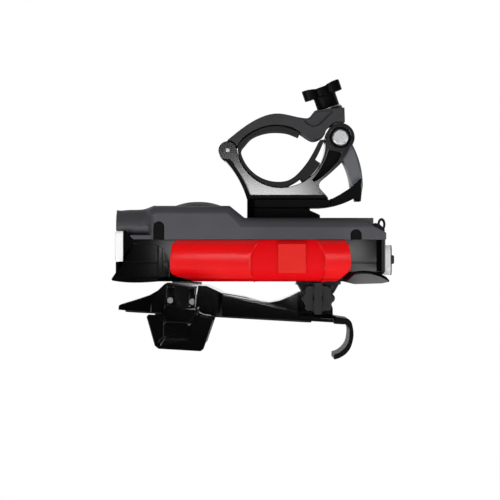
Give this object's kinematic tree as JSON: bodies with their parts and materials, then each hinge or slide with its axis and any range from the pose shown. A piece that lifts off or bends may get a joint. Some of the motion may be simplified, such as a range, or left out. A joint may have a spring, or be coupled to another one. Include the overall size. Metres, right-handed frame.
{
  "type": "bicycle headlight",
  "caption": "Handlebar headlight with a horn and red side panels, hung under a hinged quick-release bar clamp, with a tilting phone holder below.",
  "frame": {"origin": "centre of the handlebar seat, halfway between the two faces of the clamp", "axes": "+Y along the handlebar away from the viewer of the picture, -X to the lens, +X to the rear panel, +Z from the lamp up to the clamp's knob"},
  "size_m": [0.116, 0.074, 0.1159],
  "materials": {
    "matte_black": "fine-textured black ABS",
    "gloss_black": "glossy black ABS",
    "red_panel": "satin red ABS",
    "black_rubber": "soft black rubber",
    "steel": "plated steel",
    "lever_metal": "dark satin anodised",
    "clear_lens": "clear polycarbonate over a bright reflector",
    "silver_plating": "vacuum-plated plastic",
    "white_plastic": "light silver-white plastic",
    "grey_rubber": "dark grey rubber",
    "circuit_board": "solder mask",
    "led": "phosphor",
    "bare_aluminium": "milled",
    "cell_wrap": "shrink wrap over a steel can",
    "inner_plastic": "moulded",
    "white_gear": "acetal"
  },
  "bodies": {
    "clamp": {"lower_jaw": "matte_black", "liner_band": "black_rubber", "hinge_pin": "steel", "cross_pin": "steel", "slide_shoe": "matte_black", "shoe_screws": "steel"},
    "top_jaw": {"upper_jaw": "matte_black"},
    "knob": {"clamp_bolt": "steel", "clamp_knob": "gloss_black", "knob_washer": "steel"},
    "lever": {"lock_lever": "lever_metal"},
    "tongue": {"release_tongue": "gloss_black"},
    "lamp": {"lamp_rail": "matte_black", "rail_screws": "steel", "upper_shell": "matte_black", "horn_speaker": "inner_plastic", "horn_cap": "gloss_black", "lower_shell": "gloss_black", "case_seal": "black_rubber", "right_side_panel": "red_panel", "left_side_panel": "red_panel", "front_lens": "clear_lens", "reflector": "silver_plating", "led_board": "circuit_board", "led_chips": "led", "heat_sink": "bare_aluminium", "battery_cells": "cell_wrap", "battery_cradle": "inner_plastic", "main_board": "circuit_board", "board_screws": "steel", "rear_board": "circuit_board", "charge_port": "steel", "rear_panel": "white_plastic", "face_plate": "gloss_black", "button_switch": "inner_plastic", "pivot_bracket": "gloss_black", "bracket_screws": "steel", "tilt_nut": "steel"},
    "button": {"rear_button": "grey_rubber"},
    "plug": {"usb_plug": "black_rubber"},
    "tilt_screw": {"tilt_knob": "gloss_black", "tilt_bolt": "steel"},
    "holder": {"holder_base": "gloss_black", "base_cover": "gloss_black", "phone_pad": "black_rubber", "pinion_pin": "steel"},
    "right_jaw": {"right_phone_jaw": "gloss_black", "right_jaw_rods": "steel", "right_jaw_pad": "black_rubber"},
    "left_jaw": {"left_phone_jaw": "gloss_black", "left_jaw_rods": "steel", "left_jaw_pad": "black_rubber"},
    "pinion": {"jaw_pinion": "white_gear"},
    "hook": {"bottom_hook": "gloss_black"}
  },
  "joints": [
    {"name": "jaw_hinge", "type": "hinge", "parent": "clamp", "child": "top_jaw", "pos_m": [-0.0209, 0, -0.003], "axis": [0, -1, 0], "range_deg": [0, 75]},
    {"name": "knob_spin", "type": "hinge", "parent": "top_jaw", "child": "knob", "pos_m": [0.0255, 0, 0.0024], "axis": [-0.3256, 0, 0.9455], "continuous": true},
    {"name": "lever_hinge", "type": "hinge", "parent": "clamp", "child": "lever", "pos_m": [0.0255, 0, 0.0024], "axis": [0, -1, 0], "range_deg": [0, 85]},
    {"name": "tongue_flex", "type": "hinge", "parent": "clamp", "child": "tongue", "pos_m": [-0.006, 0, -0.025], "axis": [0, -1, 0], "range_deg": [0, 2.5], "stiffness_Nm_per_rad": 2},
    {"name": "lamp_slide", "type": "slide", "parent": "clamp", "child": "lamp", "axis": [-1, 0, 0], "range_m": [0, 0.028]},
    {"name": "button_press", "type": "slide", "parent": "lamp", "child": "button", "axis": [-1, 0, 0], "range_m": [0, 0.0008], "stiffness_N_per_m": 1500},
    {"name": "plug_hinge", "type": "hinge", "parent": "lamp", "child": "plug", "pos_m": [0.0396, -0.015, -0.0337], "axis": [0, -1, 0], "range_deg": [0, 45]},
    {"name": "tilt_knob_spin", "type": "hinge", "parent": "lamp", "child": "tilt_screw", "pos_m": [0.0161, 0, -0.0638], "axis": [0, -1, 0], "continuous": true},
    {"name": "holder_tilt", "type": "hinge", "parent": "lamp", "child": "holder", "pos_m": [0.0161, 0, -0.0638], "axis": [0, -1, 0], "range_deg": [0, 30]},
    {"name": "right_jaw_slide", "type": "slide", "parent": "holder", "child": "right_jaw", "axis": [0, -1, 0], "range_m": [-0.003, 0.013]},
    {"name": "left_jaw_slide", "type": "slide", "parent": "holder", "child": "left_jaw", "axis": [0, 1, 0], "range_m": [-0.003, 0.013]},
    {"name": "pinion_spin", "type": "hinge", "parent": "holder", "child": "pinion", "pos_m": [-0.03943, 0, -0.06791], "axis": [0.0576, 0, 0.9983], "range_deg": [-235, 57]},
    {"name": "hook_slide", "type": "slide", "parent": "holder", "child": "hook", "axis": [0.9983, 0, -0.0576], "range_m": [0, 0.012]}
  ],
  "couplings": [
    {"joint": "left_jaw_slide", "follows": "right_jaw_slide", "ratio": 1},
    {"joint": "pinion_spin", "follows": "right_jaw_slide", "rad_per_m": -312.5}
  ]
}
